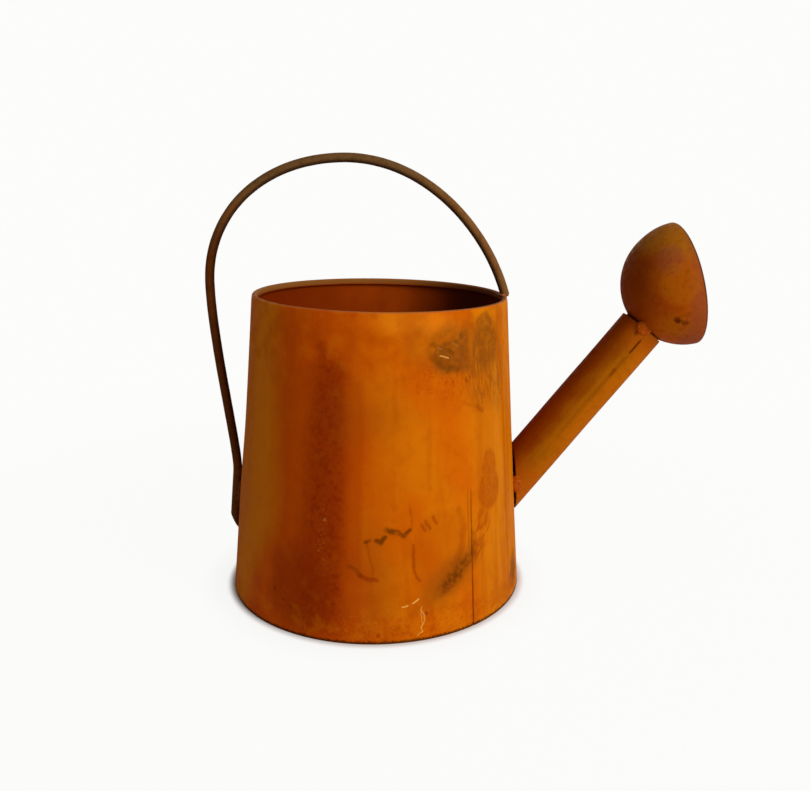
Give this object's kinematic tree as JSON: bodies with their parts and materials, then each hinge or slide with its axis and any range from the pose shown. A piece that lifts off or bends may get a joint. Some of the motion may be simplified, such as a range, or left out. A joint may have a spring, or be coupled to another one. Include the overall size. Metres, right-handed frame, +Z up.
{
  "type": "rusty watering can",
  "caption": "Small weathered steel watering can: open tapered body with a hemmed mouth, tall rod handle, straight rolled spout and a half-round perforated rose.",
  "frame": {"origin": "centre of the body's foot, on the surface it stands on", "axes": "+Z up, +X towards the spout and rose, +Y to the far side of the reference view; handle, spout and rose lie in the plane Y = 0"},
  "size_m": [0.1912, 0.1172, 0.1699],
  "materials": {
    "rusted_wall": "orange rust under a thin clear coat",
    "rusted_base": "dull brown rust",
    "rusted_rod": "dark brown rust under a thin clear coat",
    "rusted_spout": "maroon and orange rust under a thin clear coat",
    "rusted_rose": "brown and orange rust under a thin clear coat",
    "rusted_weld": "rusted weld metal"
  },
  "bodies": {
    "root": {"body_wall": "rusted_wall", "base_plate": "rusted_base", "base_weld": "rusted_weld", "wall_seam_weld": "rusted_weld", "handle": "rusted_rod", "handle_rim_weld": "rusted_weld", "handle_foot_weld_front": "rusted_weld", "handle_foot_weld_back": "rusted_weld", "spout": "rusted_spout", "spout_root_weld_front": "rusted_weld", "spout_root_weld_back": "rusted_weld", "rose_bowl": "rusted_rose", "rose_face": "rusted_rose", "rose_neck_weld_front": "rusted_weld", "rose_neck_weld_back": "rusted_weld"}
  },
  "joints": []
}
